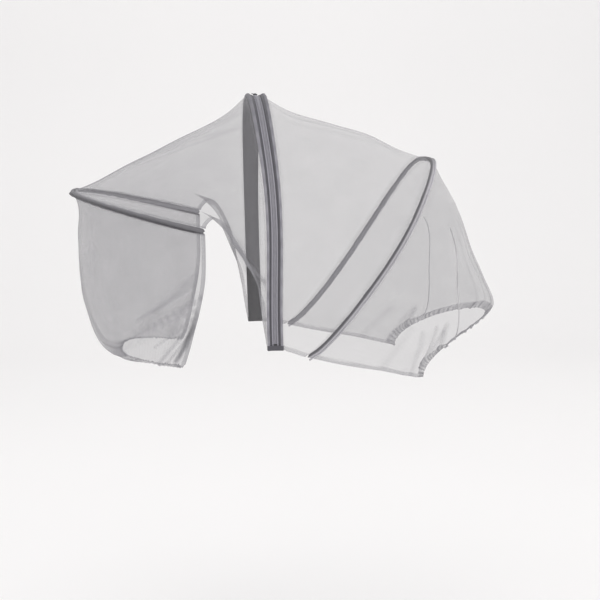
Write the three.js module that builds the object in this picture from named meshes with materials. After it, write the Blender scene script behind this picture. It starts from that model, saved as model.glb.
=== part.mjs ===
import * as THREE from "three";

// A mosquito net in the shape in which it fits over a stroller's lying unit, in millimetres.
// X runs from the foot end (minus) to the head end (plus), Y from the near side (minus) to the far
// side (plus), and Z up. The origin is under the top of the zip arch, where the net is held up.

// Driving sizes
const netThickness = 1.2;
const hemThickness = 2.6;
const gap = 0.3;
const hoopGap = 0.5;
const halfWidth = 190;
const hoopRadius = 4.6;
const archLift = 2;
const casingWidth = { foot: 7.5, top: 11.5 };
const casingThickness = { foot: 5, top: 7.5 };
const panelDrop = 2.4;
const tapeWidth = 3.8;
const tapeThickness = 1.2;
const chainWidth = 5.6;
const chainThickness = 2.6;
const stopSize = { length: 12, thickness: 3.6 };
const sliderSize = { width: 8, length: 12, height: 3.4 };
const pullSize = { width: 5, length: 15, thickness: 1.4, rise: 0.22, clear: 0.7, drop: 0.6 };

// Steps that the curved surfaces are cut into. sideHem is the share of a bow that its turned side edge takes.
const acrossSteps = 44;
const sideHem = 0.012;
const seamColumn = 0.25;
const hoopSteps = 44;
const hoopSides = 8;
const archSteps = 44;
const bowSamples = 240;
const frameStep = 0.01;

// How a padded strip's section is blunted: how far in its corners start, as a share of its thickness, and how
// high its side stands, as a share of the same.
const stripBlunt = 0.45;
const stripSide = 0.4;

// Lines across the net. near, middle and far are [x, y, z]; square is 2 for an ellipse and more for a
// squarer bow, and squareX does the same for its reach along X alone; sway moves the near and the far half
// along X, most at swayAt (0 is the middle of the bow and 1 its end); seam is the share of the bow at which
// the back panel's seam lies; steps is the number of cells up to the next row.
const footHoopBow = {
  near: [-102, -halfWidth, -247],
  middle: [-352, 0, -181],
  far: [-107, halfWidth, -232],
  square: 2.15,
};
const zipBow = {
  near: [25, -halfWidth, -466],
  middle: [0, 0, archLift],
  far: [9, halfWidth, -466],
  square: 2.35,
  sway: [9, 0],
  swayAt: 0.66,
};
const rearHoopBow = {
  near: [84, -halfWidth, -480],
  middle: [337, 0, -119],
  far: [78, halfWidth, -474],
  square: 3.2,
  squareX: 4.2,
  sway: [6, 0],
  swayAt: 0.72,
  seam: 0.3,
};
const footRows = [
  { near: [-152, -138, -499], middle: [-262, 0, -484], far: [-150, 140, -494], square: 2.7, steps: 1 },
  { near: [-147, -150, -500], middle: [-272, 0, -486], far: [-146, 152, -496], square: 2.7, steps: 2 },
  { near: [-139, -184, -488], middle: [-300, 0, -472], far: [-137, 184, -482], square: 2.55, steps: 3 },
  { near: [-125, -190, -440], middle: [-326, 0, -425], far: [-126, 190, -440], square: 2.45, steps: 4 },
  { near: [-103, -190, -345], middle: [-343, 0, -325], far: [-108, 190, -340], square: 2.35, steps: 3 },
  { near: [-101, -190, -270], middle: [-344, 0, -206], far: [-107, 190, -256], square: 2.2, steps: 1 },
  { ...footHoopBow },
];
const frontRows = [
  { ...footHoopBow, steps: 1 },
  { near: [-97, -188, -234], middle: [-331, 0, -172], far: [-101, 188, -220], square: 2.15, steps: 2 },
  { near: [-80, -190, -223], middle: [-275, 0, -145], far: [-80, 190, -206], square: 2.2, steps: 2 },
  { near: [-38, -190, -276], middle: [-195, 0, -104], far: [-44, 190, -262], square: 2.25, steps: 3 },
  { near: [-3, -190, -362], middle: [-105, 0, -60], far: [-26, 190, -350], square: 2.3, steps: 2 },
  { near: [2, -190, -410], middle: [-52, 0, -31], far: [-17, 190, -404], square: 2.32, steps: 2 },
  { ...zipBow, beside: -1 },
];
const crownRows = [
  { ...zipBow, beside: 1, steps: 2 },
  {
    near: [46, -190, -468],
    middle: [70, 0, -29],
    far: [30, 190, -467],
    square: 2.4,
    sway: [10, 1],
    steps: 2,
  },
  {
    near: [56, -190, -471],
    middle: [150, 0, -51],
    far: [41, 190, -469],
    square: 2.5,
    sway: [12, 3],
    steps: 2,
  },
  {
    near: [64, -190, -474],
    middle: [222, 0, -71],
    far: [52, 190, -471],
    square: 2.6,
    sway: [12, 6],
    steps: 2,
  },
  {
    near: [72, -190, -477],
    middle: [281, 0, -102],
    far: [63, 190, -472],
    square: 2.9,
    squareX: 3.3,
    sway: [9, 3],
    steps: 2,
  },
  { ...rearHoopBow },
];
const headRows = [
  { ...rearHoopBow, steps: 3 },
  {
    near: [140, -190, -493],
    middle: [392, 0, -206],
    far: [136, 190, -487],
    square: 2.6,
    seam: 0.36,
    steps: 3,
  },
  {
    near: [222, -188, -508],
    middle: [432, 0, -306],
    far: [220, 188, -502],
    square: 2.1,
    seam: 0.29,
    steps: 3,
  },
  {
    near: [286, -180, -522],
    middle: [473, 0, -404],
    far: [286, 180, -516],
    square: 2.2,
    squareX: 1.3,
    seam: 0.19,
    steps: 2,
  },
  {
    near: [302, -168, -524],
    middle: [467, 0, -413],
    far: [302, 168, -518],
    square: 2.2,
    squareX: 1.15,
    seam: 0.15,
    steps: 1,
  },
  {
    near: [306, -160, -526],
    middle: [459, 0, -421],
    far: [306, 160, -520],
    square: 2.2,
    squareX: 1.15,
    seam: 0.15,
  },
];

// Folds in the cloth, seen from the side: each runs between two [x, z] points on the near (side -1) or far
// (side 1) wall, stands height proud and fades out at spread to either side.
const footFolds = [
  { side: -1, from: [-104, -362], to: [-214, -428], spread: 22, height: 5 },
  { side: -1, from: [-112, -392], to: [-230, -452], spread: 20, height: -4 },
  { side: -1, from: [-120, -400], to: [-158, -486], spread: 22, height: 6 },
  { side: -1, from: [-150, -420], to: [-186, -488], spread: 20, height: -4 },
  { side: 1, from: [-106, -356], to: [-205, -440], spread: 24, height: 5 },
  { side: 1, from: [-118, -398], to: [-172, -484], spread: 22, height: -4 },
];
const frontFolds = [
  { side: -1, from: [-46, -268], to: [14, -352], spread: 22, height: 4 },
  { side: -1, from: [-300, -186], to: [-150, -98], spread: 20, height: 3 },
  { side: 1, from: [-52, -262], to: [-6, -356], spread: 24, height: 4 },
];
const headFolds = [
  { side: -1, from: [300, -510], to: [352, -430], spread: 20, height: 5 },
  { side: -1, from: [262, -512], to: [318, -440], spread: 20, height: -4 },
  { side: -1, from: [226, -500], to: [280, -430], spread: 22, height: 4 },
  { side: 1, from: [296, -506], to: [350, -436], spread: 22, height: 5 },
  { side: 1, from: [240, -500], to: [300, -440], spread: 22, height: -4 },
];

const colours = { net: "#a3a2a8", casing: "#67666c", tape: "#8d8c93", chain: "#6e6d74", metal: "#55545a" };

function vector([x, y, z]) {
  return new THREE.Vector3(x, y, z);
}

// Looks up a line of points by its share of the whole length, from 0 to 1.
function evenly(points) {
  const lengths = [0];
  for (let i = 1; i < points.length; i++) {
    lengths.push(lengths[i - 1] + points[i].distanceTo(points[i - 1]));
  }
  const total = lengths[lengths.length - 1];
  return (share) => {
    const target = THREE.MathUtils.clamp(share, 0, 1) * total;
    let i = 1;
    while (i < points.length - 1 && lengths[i] < target) i++;
    const part = (target - lengths[i - 1]) / (lengths[i] - lengths[i - 1]);
    return points[i - 1].clone().lerp(points[i], part);
  };
}

// The points of one bow at even distances from its near end to its far end.
function bowLine(bow) {
  const near = vector(bow.near);
  const far = vector(bow.far);
  const foot = near.clone().add(far).multiplyScalar(0.5);
  const rise = vector(bow.middle).sub(foot);
  const reach = far.clone().sub(near).multiplyScalar(0.5);
  const power = 2 / bow.square;
  const powerX = 2 / (bow.squareX ?? bow.square);
  const [swayNear, swayFar] = bow.sway ?? [0, 0];
  const swayPower = Math.log(0.5) / Math.log(bow.swayAt ?? 0.5);
  const points = [];
  for (let i = 0; i <= bowSamples; i++) {
    const place = (2 * i) / bowSamples - 1;
    const angle = (place * Math.PI) / 2;
    const up = Math.abs(Math.cos(angle)) ** power;
    const out = Math.sign(place) * Math.abs(Math.sin(angle)) ** power;
    const point = foot.clone().addScaledVector(rise, up).addScaledVector(reach, out);
    point.x += rise.x * (Math.abs(Math.cos(angle)) ** powerX - up);
    point.x += (place < 0 ? swayNear : swayFar) * Math.sin(Math.PI * Math.abs(place) ** swayPower) ** 2;
    points.push(point);
  }
  return evenly(points);
}

// The share of a bow's length at one column, so that the seam's column lies at the bow's own seam.
function shareAt(bow, column) {
  const half = Math.min(column, 1 - column);
  const seam = bow.seam ?? seamColumn;
  const share =
    half < seamColumn
      ? (half / seamColumn) * seam
      : seam + ((half - seamColumn) / (0.5 - seamColumn)) * (0.5 - seam);
  return column < 0.5 ? share : 1 - share;
}

// Columns at which a panel is cut: even, with a narrow one along each side edge for its turned hem.
function evenColumns() {
  const columns = [];
  for (let i = 0; i <= acrossSteps; i++) columns.push(i / acrossSteps);
  columns.splice(1, 0, sideHem);
  columns.splice(columns.length - 1, 0, 1 - sideHem);
  return columns;
}

// How far the folds lift a point of the wall.
function foldHeight(folds, point) {
  let height = 0;
  for (const fold of folds) {
    if (Math.sign(point.y) !== fold.side) continue;
    const start = new THREE.Vector2(...fold.from);
    const run = new THREE.Vector2(...fold.to).sub(start);
    const offset = new THREE.Vector2(point.x, point.z).sub(start);
    const along = offset.dot(run) / run.lengthSq();
    const near = THREE.MathUtils.clamp(along, 0, 1);
    const distance = offset.addScaledVector(run, -near).length() / fold.spread;
    if (distance < 1) height += fold.height * (1 - distance ** 2) ** 2;
  }
  return height;
}

// The grid of points of a panel, row by row from its first bow to its last, with its folds raised.
function panelGrid(rows, columns, folds) {
  const lines = rows.map((row) => (row.beside ? besideBand(row, row.beside) : bowLine(row)));
  const places = [];
  rows.slice(0, -1).forEach((row, i) => {
    for (let step = 0; step < row.steps; step++) places.push((i + step / row.steps) / (rows.length - 1));
  });
  places.push(1);
  const smooth = places.map(() => []);
  columns.forEach((column, c) => {
    const points = lines.map((line, i) => line(shareAt(rows[i], column)));
    const curve = new THREE.CatmullRomCurve3(points, false, "centripetal");
    places.forEach((place, row) => {
      smooth[row][c] = curve.getPoint(place);
    });
  });
  return smooth.map((line, row) =>
    line.map((point, c) => {
      const edge = row === 0 || row === smooth.length - 1;
      const height = edge ? 0 : foldHeight(folds, point);
      return point.clone().addScaledVector(outward(smooth, row, c), height);
    }),
  );
}

// Direction across a grid's row at one point, and outward from the grid there.
function acrossAt(grid, row, column) {
  const line = grid[row];
  return line[Math.min(column + 1, line.length - 1)].clone().sub(line[Math.max(column - 1, 0)]).normalize();
}

function outward(grid, row, column) {
  const above = grid[Math.min(row + 1, grid.length - 1)][column];
  const below = grid[Math.max(row - 1, 0)][column];
  return acrossAt(grid, row, column).cross(above.clone().sub(below)).normalize();
}

// Draws an edge row of a grid back to the side of the hoop that it meets.
function trimToHoop(grid, row, inner) {
  const tangents = grid[row].map((_, column) => acrossAt(grid, row, column));
  grid[row].forEach((point, column) => {
    const back = grid[inner][column].clone().sub(point);
    back.addScaledVector(tangents[column], -back.dot(tangents[column])).normalize();
    point.addScaledVector(back, hoopRadius + hoopGap);
  });
}

// A casing's width or thickness at a share of the arch's length: full at the top and slim down the legs.
function swell(size, share) {
  return THREE.MathUtils.lerp(size.foot, size.top, Math.sin(Math.PI * share) ** 6);
}

// The line along the outer edge of the zip band, on the side of the foot end (-1) or the head end (1).
function besideBand(bow, towards) {
  const line = bowLine(bow);
  return (share) => {
    const frame = frameAt(line, share);
    const reach = chainWidth / 2 + tapeWidth + swell(casingWidth, share) + 3 * gap;
    return frame.point.addScaledVector(frame.side, towards * reach).addScaledVector(frame.out, -panelDrop);
  };
}

// A closed sheet over the cells of a grid that keep(row, column) wants, thickness(row, column) thick. Along a
// line where kept cells meet others, its edge is drawn back by the gap of a seam.
function sheet(grid, thickness, keep = () => true) {
  const rows = grid.length;
  const width = grid[0].length;
  const real = (row, column) => row >= 0 && column >= 0 && row < rows - 1 && column < width - 1;
  const kept = (row, column) => real(row, column) && keep(row, column);
  const cellsAround = (row, column) => {
    const cells = [];
    for (const r of [row - 1, row]) {
      for (const c of [column - 1, column]) if (real(r, c)) cells.push([r, c]);
    }
    return cells;
  };
  const middleOf = ([r, c]) =>
    grid[r][c].clone().add(grid[r + 1][c]).add(grid[r][c + 1]).add(grid[r + 1][c + 1]).multiplyScalar(0.25);
  const drawnBack = (row, column) => {
    const point = grid[row][column].clone();
    const around = cellsAround(row, column);
    const mine = around.filter((cell) => keep(...cell));
    if (mine.length === 0 || mine.length === around.length) return point;
    const centre = new THREE.Vector3();
    mine.forEach((cell) => centre.addScaledVector(middleOf(cell), 1 / mine.length));
    return point.addScaledVector(centre.sub(point).normalize(), gap);
  };
  const positions = [];
  for (const side of [0.5, -0.5]) {
    for (let row = 0; row < rows; row++) {
      for (let column = 0; column < width; column++) {
        const lift = side * thickness(row, column);
        const point = drawnBack(row, column).addScaledVector(outward(grid, row, column), lift);
        positions.push(point.x, point.y, point.z);
      }
    }
  }
  const inner = rows * width;
  const index = [];
  const quad = (a, b, c, d) => index.push(a, b, c, a, c, d);
  const rim = (a, b) => quad(a, a + inner, b + inner, b);
  for (let row = 0; row < rows - 1; row++) {
    for (let column = 0; column < width - 1; column++) {
      if (!kept(row, column)) continue;
      const a = row * width + column;
      const b = a + 1;
      const c = b + width;
      const d = a + width;
      quad(a, b, c, d);
      quad(a + inner, d + inner, c + inner, b + inner);
      if (!kept(row - 1, column)) rim(a, b);
      if (!kept(row, column + 1)) rim(b, c);
      if (!kept(row + 1, column)) rim(c, d);
      if (!kept(row, column - 1)) rim(d, a);
    }
  }
  return solid(positions, index);
}

function solid(positions, index) {
  const geometry = new THREE.BufferGeometry();
  geometry.setAttribute("position", new THREE.Float32BufferAttribute(positions, 3));
  geometry.setIndex(index);
  geometry.computeVertexNormals();
  return geometry;
}

// A panel's thickness, with its turned hems along both side edges and along the rows that are named.
function hemmed(columns, hemRows) {
  const last = columns.length - 1;
  return (row, column) =>
    hemRows.includes(row) || column < 2 || column > last - 2 ? hemThickness : netThickness;
}

// A point on a line with its side direction, towards the head end, and its out direction, away from the
// inside of the net.
function frameAt(line, share) {
  const along = line(share + frameStep).sub(line(share - frameStep)).normalize();
  const side = new THREE.Vector3(1, 0, 0);
  side.addScaledVector(along, -side.dot(along)).normalize();
  return { point: line(share), side, out: side.clone().cross(along).normalize() };
}

function framesAlong(bow, from, to, steps) {
  const line = bowLine(bow);
  const frames = [];
  for (let step = 0; step <= steps; step++) frames.push(frameAt(line, from + ((to - from) * step) / steps));
  return frames;
}

// A closed bar swept along frames, with outline(share) giving its [across, up] corners.
function bar(frames, outline) {
  const positions = [];
  frames.forEach((frame, step) => {
    outline(step / (frames.length - 1)).forEach(([across, up]) => {
      const point = frame.point.clone().addScaledVector(frame.side, across).addScaledVector(frame.out, up);
      positions.push(point.x, point.y, point.z);
    });
  });
  const count = positions.length / 3 / frames.length;
  const index = [];
  for (let step = 0; step < frames.length - 1; step++) {
    for (let i = 0; i < count; i++) {
      const a = step * count + i;
      const b = step * count + ((i + 1) % count);
      index.push(a, b + count, b, a, a + count, b + count);
    }
  }
  const last = (frames.length - 1) * count;
  for (let i = 1; i < count - 1; i++) {
    index.push(0, i, i + 1);
    index.push(last, last + i + 1, last + i);
  }
  return solid(positions, index);
}

// A round rod in its sleeve along a bow.
function hoop(bow) {
  const ring = [];
  for (let i = 0; i < hoopSides; i++) {
    const angle = ((i + 0.5) * 2 * Math.PI) / hoopSides;
    ring.push([hoopRadius * Math.cos(angle), hoopRadius * Math.sin(angle)]);
  }
  return bar(framesAlong(bow, 0, 1, hoopSteps), () => ring);
}

// Corners of a strip's section, with its long sides level and its edges blunted.
function stripSection(middle, width, thickness) {
  const half = width / 2;
  const blunt = Math.min(half, thickness) * stripBlunt;
  const up = thickness / 2;
  const side = up * stripSide;
  return [
    [middle - half, -side],
    [middle - half + blunt, -up],
    [middle + half - blunt, -up],
    [middle + half, -side],
    [middle + half, side],
    [middle + half - blunt, up],
    [middle - half + blunt, up],
    [middle - half, side],
  ];
}

function flatSection(middle, width, thickness) {
  const half = width / 2;
  const up = thickness / 2;
  return [
    [middle - half, -up],
    [middle + half, -up],
    [middle + half, up],
    [middle - half, up],
  ];
}

function piece(name, geometry, color, roughness = 0.9, metalness = 0) {
  const material = new THREE.MeshStandardMaterial({ color, roughness, metalness });
  const mesh = new THREE.Mesh(geometry, material);
  mesh.name = name;
  return mesh;
}

// The zip over the arch: chain in the middle, then a tape and a padded casing on each side.
function zipBand() {
  const group = new THREE.Group();
  const arch = framesAlong(zipBow, 0, 1, archSteps);
  const length = arch.slice(1).reduce((sum, frame, i) => sum + frame.point.distanceTo(arch[i].point), 0);
  const stopShare = stopSize.length / length;
  for (const [place, towards] of [["front", -1], ["rear", 1]]) {
    const tapeMiddle = towards * (chainWidth / 2 + gap + tapeWidth / 2);
    const casingMiddle = (share) =>
      towards * (chainWidth / 2 + tapeWidth + 2 * gap + swell(casingWidth, share) / 2);
    const tape = bar(arch, () => flatSection(tapeMiddle, tapeWidth, tapeThickness));
    const casing = bar(arch, (share) =>
      stripSection(casingMiddle(share), swell(casingWidth, share), swell(casingThickness, share)),
    );
    group.add(piece(`zip_tape_${place}`, tape, colours.tape));
    group.add(piece(`zip_casing_${place}`, casing, colours.casing));
  }
  const gapShare = gap / length;
  const chainFrames = framesAlong(zipBow, stopShare + gapShare, 1 - stopShare - gapShare, archSteps);
  const chain = bar(chainFrames, () => flatSection(0, chainWidth, chainThickness));
  group.add(piece("zip_chain", chain, colours.chain, 0.6));
  for (const [place, from, to] of [["near", 0, stopShare], ["far", 1 - stopShare, 1]]) {
    const frames = framesAlong(zipBow, from, to, 1);
    const stop = bar(frames, () => flatSection(0, chainWidth, stopSize.thickness));
    group.add(piece(`zip_stop_${place}`, stop, colours.metal, 0.5));
  }
  return group;
}

// The slider parked on the top of the arch, and its pull, which lies over towards the foot end.
function zipSlider() {
  const group = new THREE.Group();
  const seat = archLift + chainThickness / 2 + gap;
  const body = new THREE.BoxGeometry(sliderSize.width, sliderSize.length, sliderSize.height);
  const slider = piece("zip_slider", body, colours.metal, 0.4, 0.6);
  slider.position.set(0, 0, seat + sliderSize.height / 2);
  const tab = new THREE.BoxGeometry(pullSize.length, pullSize.width, pullSize.thickness);
  tab.translate(-pullSize.length / 2, 0, 0);
  const pull = piece("zip_pull", tab, colours.metal, 0.4, 0.6);
  pull.position.set(-sliderSize.width / 2 - pullSize.clear, 0, seat + sliderSize.height - pullSize.drop);
  pull.rotation.y = pullSize.rise;
  group.add(slider, pull);
  return group;
}

const net = new THREE.Group();
net.name = "stroller_mosquito_net";

// The panels
const columns = evenColumns();
const foot = panelGrid(footRows, columns, footFolds);
trimToHoop(foot, foot.length - 1, foot.length - 2);
net.add(piece("net_foot", sheet(foot, hemmed(columns, [0, 1])), colours.net));

const front = panelGrid(frontRows, columns, frontFolds);
trimToHoop(front, 0, 1);
net.add(piece("net_front", sheet(front, hemmed(columns, [])), colours.net));

const crown = panelGrid(crownRows, columns, []);
trimToHoop(crown, crown.length - 1, crown.length - 2);
net.add(piece("net_crown", sheet(crown, hemmed(columns, [])), colours.net));

const head = panelGrid(headRows, columns, headFolds);
trimToHoop(head, 0, 1);
const shoulderRow = headRows[0].steps;
const inBack = (row, column) =>
  row >= shoulderRow && columns[column] >= seamColumn && columns[column + 1] <= 1 - seamColumn;
const headThickness = hemmed(columns, [head.length - 2, head.length - 1]);
net.add(piece("net_head", sheet(head, headThickness, (row, column) => !inBack(row, column)), colours.net));
net.add(piece("net_back", sheet(head, headThickness, inBack), colours.net));

// The hoops and the zip
net.add(piece("foot_hoop", hoop(footHoopBow), colours.casing, 0.7));
net.add(piece("rear_hoop", hoop(rearHoopBow), colours.casing, 0.7));
net.add(zipBand());
net.add(zipSlider());

export default net;
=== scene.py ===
import math
import random

import bpy
import numpy as np
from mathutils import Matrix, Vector


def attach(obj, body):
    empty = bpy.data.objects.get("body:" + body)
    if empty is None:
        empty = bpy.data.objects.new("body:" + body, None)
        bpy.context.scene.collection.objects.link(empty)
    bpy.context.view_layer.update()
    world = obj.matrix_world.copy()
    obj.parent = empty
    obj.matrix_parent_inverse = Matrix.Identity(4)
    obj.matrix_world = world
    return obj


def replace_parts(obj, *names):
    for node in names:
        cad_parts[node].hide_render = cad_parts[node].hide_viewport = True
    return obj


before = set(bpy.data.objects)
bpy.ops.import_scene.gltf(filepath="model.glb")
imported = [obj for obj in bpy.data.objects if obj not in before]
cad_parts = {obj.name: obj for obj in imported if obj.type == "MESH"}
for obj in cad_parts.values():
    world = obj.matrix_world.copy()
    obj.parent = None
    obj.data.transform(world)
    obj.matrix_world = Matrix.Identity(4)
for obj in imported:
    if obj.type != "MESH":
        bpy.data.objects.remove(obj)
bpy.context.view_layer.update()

# Sizes in millimetres, as the solids have them
MM = 0.001
TINY = 1e-9
HOOP_RADIUS = 4.6
SLEEVE_RADIUS = 4.3
HOOP_GAP = 0.5
GAP = 0.3
ARCH_LIFT = 2
CASING_WIDTH = {"foot": 7.5, "top": 11.5}
CASING_THICKNESS = {"foot": 5, "top": 7.5}
SWELL_POWER = 6
PANEL_DROP = 2.4
TAPE_WIDTH = 3.8
CHAIN_WIDTH = 5.6
CASING_START = CHAIN_WIDTH / 2 + TAPE_WIDTH + 2 * GAP
CHAIN_HALF_THICKNESS = 1.3
SEAM_COLUMN = 0.25

# How finely the lines are cut
BOW_SAMPLES = 720
FRAME_STEP = 0.01
LEAST_REACH = 1e-4

# How finely the cloth is cut
ACROSS_STEPS = 320
ROW_CELLS = 13
ARCH_STEPS = 220
HOOP_STEPS = 240
HOOP_SIDES = 18

# The turned hems along the side edges: how wide and dense they are, how soft their inner edge is, how many
# columns they can reach over, and how finely the edge is measured
HEM_WIDTH = 8
HEM_DENSE = 0.8
HEM_SOFTNESS = 1.5
HEM_COLUMNS = 24
HEM_SAMPLES = 4


def bow(near, middle, far, square, **more):
    """A line across the net by its near, middle and far points and how square it is. More can say how square
    it is lengthwise, how far it sways towards the head end and where most, and where its seam lies."""
    return dict(near=near, middle=middle, far=far, square=square, **more)


# Lines across the net, much as in the solids
FOOT_HOOP = bow((-102, -190, -247), (-352, 0, -181), (-107, 190, -232), 2.15)
ZIP_BOW = bow((25, -190, -466), (0, 0, ARCH_LIFT), (9, 190, -466), 2.35, sway=(9, 0), sway_at=0.66)
REAR_HOOP = bow(
    (84, -190, -480), (337, 0, -119), (78, 190, -474), 3.2, square_x=4.2, sway=(6, 0), sway_at=0.72, seam=0.3
)
FOOT_ROWS = [
    bow((-152, -138, -499), (-262, 0, -484), (-150, 140, -494), 2.7),
    bow((-147, -150, -500), (-272, 0, -486), (-146, 152, -496), 2.7),
    bow((-139, -184, -488), (-300, 0, -472), (-137, 184, -482), 2.55),
    bow((-125, -190, -440), (-326, 0, -425), (-126, 190, -440), 2.45),
    bow((-103, -190, -345), (-343, 0, -325), (-108, 190, -340), 2.35),
    bow((-101, -190, -270), (-344, 0, -206), (-107, 190, -256), 2.2),
    FOOT_HOOP,
]
FRONT_ROWS = [
    FOOT_HOOP,
    bow((-97, -188, -234), (-331, 0, -172), (-101, 188, -220), 2.15),
    bow((-80, -190, -223), (-275, 0, -145), (-80, 190, -206), 2.2),
    bow((-38, -190, -276), (-195, 0, -104), (-44, 190, -262), 2.25),
    bow((-3, -190, -362), (-105, 0, -60), (-26, 190, -350), 2.3),
    bow((2, -190, -410), (-52, 0, -31), (-17, 190, -404), 2.32),
    dict(ZIP_BOW, beside=-1),
]
CROWN_ROWS = [
    dict(ZIP_BOW, beside=1),
    bow((46, -190, -468), (70, 0, -29), (30, 190, -467), 2.4, sway=(10, 1)),
    bow((56, -190, -471), (150, 0, -51), (41, 190, -469), 2.5, sway=(12, 3)),
    bow((64, -190, -474), (222, 0, -71), (52, 190, -471), 2.6, sway=(12, 6)),
    bow((72, -190, -477), (281, 0, -102), (63, 190, -472), 2.9, sway=(9, 3)),
    REAR_HOOP,
]
HEAD_ROWS = [
    REAR_HOOP,
    bow((140, -190, -493), (392, 0, -206), (136, 190, -487), 2.6, seam=0.36),
    bow((222, -188, -508), (432, 0, -306), (220, 188, -502), 2.1, seam=0.29),
    bow((286, -180, -522), (473, 0, -404), (286, 180, -516), 2.2, square_x=1.3, seam=0.19),
    bow((302, -168, -524), (467, 0, -413), (302, 168, -518), 2.2, square_x=1.15, seam=0.15),
    bow((306, -160, -526), (459, 0, -421), (306, 160, -520), 2.2, square_x=1.15, seam=0.15),
]

# Folds seen from the side: side, start (x, z), end (x, z), spread, height, and how much denser the cloth is
FOOT_FOLDS = [
    (-1, (-104, -362), (-214, -428), 16, 5, 0.25),
    (-1, (-104, -364), (-206, -421), 4.5, 1.5, 0.7),
    (-1, (-110, -378), (-224, -445), 6, -2, 0.2),
    (-1, (-110, -384), (-232, -438), 4, 1.5, 0.55),
    (-1, (-118, -389), (-140, -462), 7, 4, 0.5),
    (-1, (-123, -420), (-157, -486), 8, 6, 1.5),
    (-1, (-115, -398), (-150, -478), 4, 2, 0.9),
    (-1, (-112, -400), (-230, -452), 14, -4, 0.1),
    (-1, (-116, -396), (-196, -458), 4, 1.5, 0.6),
    (-1, (-120, -404), (-190, -490), 6, 3, 0.6),
    (-1, (-124, -424), (-178, -494), 4, 1.5, 0.7),
    (-1, (-150, -420), (-186, -488), 14, -4, 0.1),
    (-1, (-200, -400), (-260, -474), 16, 3, 0.2),
    (1, (-106, -356), (-205, -440), 16, 5, 0.4),
    (1, (-118, -398), (-172, -484), 14, -4, 0.3),
    (1, (-112, -380), (-240, -456), 9, 3, 0.4),
]
FRONT_FOLDS = [
    (-1, (-46, -268), (14, -352), 16, 4, 0.4),
    (-1, (-23, -303), (11, -345), 6, 3, 0.7),
    (-1, (-284, -209), (-235, -226), 5, 1.5, 0.35),
    (-1, (-235, -226), (-200, -235), 5, 1.5, 0.35),
    (-1, (-200, -235), (-102, -302), 5, 1.5, 0.35),
    (-1, (-300, -186), (-150, -98), 14, 3, 0.1),
    (1, (-52, -262), (-6, -356), 18, 4, 0.4),
    (1, (-30, -300), (8, -350), 7, 3, 0.5),
]
HEAD_FOLDS = [
    (-1, (300, -510), (352, -430), 12, 5, 0.5),
    (-1, (303, -507), (330, -432), 8, 4, 0.6),
    (-1, (328, -511), (349, -440), 8, 4, 0.6),
    (-1, (279, -518), (302, -441), 10, 4, 0.4),
    (-1, (262, -512), (318, -440), 12, -4, 0.1),
    (-1, (226, -500), (280, -430), 14, 4, 0.2),
    (1, (296, -506), (350, -436), 14, 5, 0.4),
    (1, (318, -508), (352, -440), 8, 4, 0.5),
    (1, (240, -500), (300, -440), 14, -4, 0.2),
]

# Creases from row to row: place across the panel, spread, height, and how much denser the cloth is
TOE_CREASES = [
    (0.446, 0.008, 0.6, 0.3),
    (0.459, 0.009, -0.6, 0.4),
    (0.472, 0.008, 0.8, 0.5),
    (0.485, 0.009, -0.6, 0.55),
    (0.497, 0.008, 0.8, 0.6),
    (0.51, 0.009, -0.6, 0.6),
    (0.523, 0.008, 0.8, 0.5),
    (0.536, 0.009, -0.6, 0.4),
    (0.549, 0.008, 0.6, 0.3),
]
SLOPE_CREASES = [
    (0.497, 0.006, 1.6, 1.0),
    (0.476, 0.005, 1.4, 0.7),
    (0.455, 0.005, -1.2, 0.5),
    (0.43, 0.007, 1.4, 0.45),
    (0.395, 0.008, 1.2, 0.2),
    (0.53, 0.006, 1.4, 0.5),
    (0.57, 0.008, -1.3, 0.3),
    (0.62, 0.008, 1.2, 0.2),
]
CROWN_CREASES = [
    (0.497, 0.005, 1.2, 0.9),
    (0.47, 0.006, 1.2, 0.4),
    (0.53, 0.006, 1.2, 0.4),
    (0.42, 0.008, -1.0, 0.15),
]
HEAD_CREASES = [
    (0.5, 0.006, 1.6, 0.9),
    (0.47, 0.006, -1.4, 0.5),
    (0.44, 0.006, 1.5, 0.4),
    (0.41, 0.005, -1.2, 0.25),
    (0.54, 0.006, 1.4, 0.4),
    (0.58, 0.006, -1.2, 0.25),
]


# Lines and grids


def even_shares(low, high, steps):
    return np.linspace(low, high, steps + 1)


def lengths_along(points):
    """How far each point of a line lies from its first, along the line."""
    return np.concatenate([[0], np.cumsum(np.linalg.norm(np.diff(points, axis=0), axis=1))])


def bow_line(row):
    """Looks up a bow's points by their share of its length, from the near end to the far end."""
    near, middle, far = (np.array(row[k], float) for k in ("near", "middle", "far"))
    foot = (near + far) / 2
    rise = middle - foot
    reach = (far - near) / 2
    power = 2 / row["square"]
    power_x = 2 / row.get("square_x", row["square"])
    sway_near, sway_far = row.get("sway", (0, 0))
    sway_power = math.log(0.5) / math.log(row.get("sway_at", 0.5))
    place = np.linspace(-1, 1, BOW_SAMPLES + 1)
    cosine = np.abs(np.cos(place * math.pi / 2))
    sine = np.abs(np.sin(place * math.pi / 2))
    points = foot + np.outer(cosine**power, rise) + np.outer(np.sign(place) * sine**power, reach)
    points[:, 0] += rise[0] * (cosine**power_x - cosine**power)
    sway = np.where(place < 0, sway_near, sway_far)
    points[:, 0] += sway * np.sin(math.pi * np.abs(place) ** sway_power) ** 2
    return evenly(points)


def evenly(points):
    """Looks up a line of points by its share of the whole length."""
    lengths = lengths_along(points)
    shares = lengths / lengths[-1]

    def at(share):
        share = np.clip(share, 0, 1)
        return np.stack([np.interp(share, shares, points[:, k]) for k in range(3)], axis=-1)

    at.length = lengths[-1]
    return at


def unit(vectors):
    return vectors / np.maximum(np.linalg.norm(vectors, axis=-1, keepdims=True), TINY)


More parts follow.
